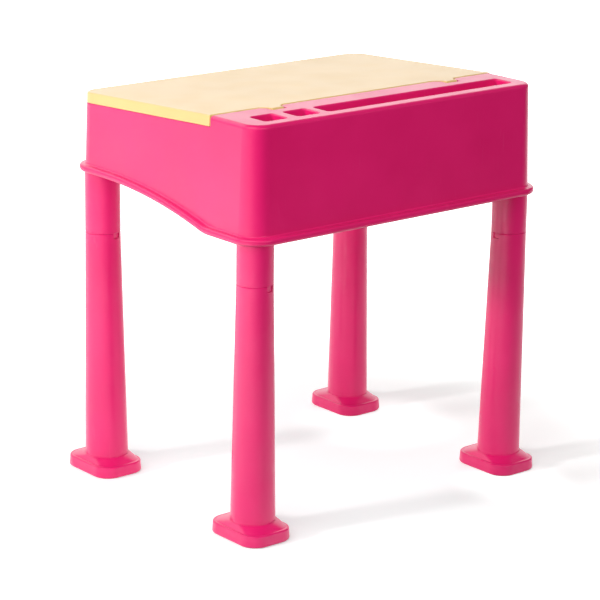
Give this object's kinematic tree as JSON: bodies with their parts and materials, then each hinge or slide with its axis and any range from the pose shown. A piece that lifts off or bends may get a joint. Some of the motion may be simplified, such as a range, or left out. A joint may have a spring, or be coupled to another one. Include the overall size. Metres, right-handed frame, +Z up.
{
  "type": "kids desk",
  "caption": "Moulded child's desk with a hinged sloping lid over a storage compartment, a rear pen tray and round plug-in legs on flared feet.",
  "frame": {"origin": "on the floor, in the middle of the feet", "axes": "+Z up; the child sits on the -Y side and the pen tray runs along the +Y side; +X is the child's right"},
  "size_m": [0.4722, 0.3876, 0.5011],
  "materials": {
    "pink_plastic": "satin moulded plastic",
    "yellow_plastic": "satin moulded plastic",
    "steel": "plain zinc-plated steel"
  },
  "bodies": {
    "desk": {"desk_case": "pink_plastic", "floor_panel": "pink_plastic", "floor_screws": "steel", "socket_screws": "steel", "hinge_pin_left": "steel", "hinge_pin_right": "steel", "leg_socket_front_left": "pink_plastic", "leg_socket_front_right": "pink_plastic", "leg_socket_rear_left": "pink_plastic", "leg_socket_rear_right": "pink_plastic", "leg_front_left": "pink_plastic", "leg_front_right": "pink_plastic", "leg_rear_left": "pink_plastic", "leg_rear_right": "pink_plastic"},
    "lid_leaf": {"lid": "yellow_plastic"}
  },
  "joints": [
    {"name": "lid_hinge", "type": "hinge", "parent": "desk", "child": "lid_leaf", "pos_m": [-0.0016, 0.10195, 0.4966], "axis": [-1, 0, 0], "range_deg": [0, 105]}
  ]
}
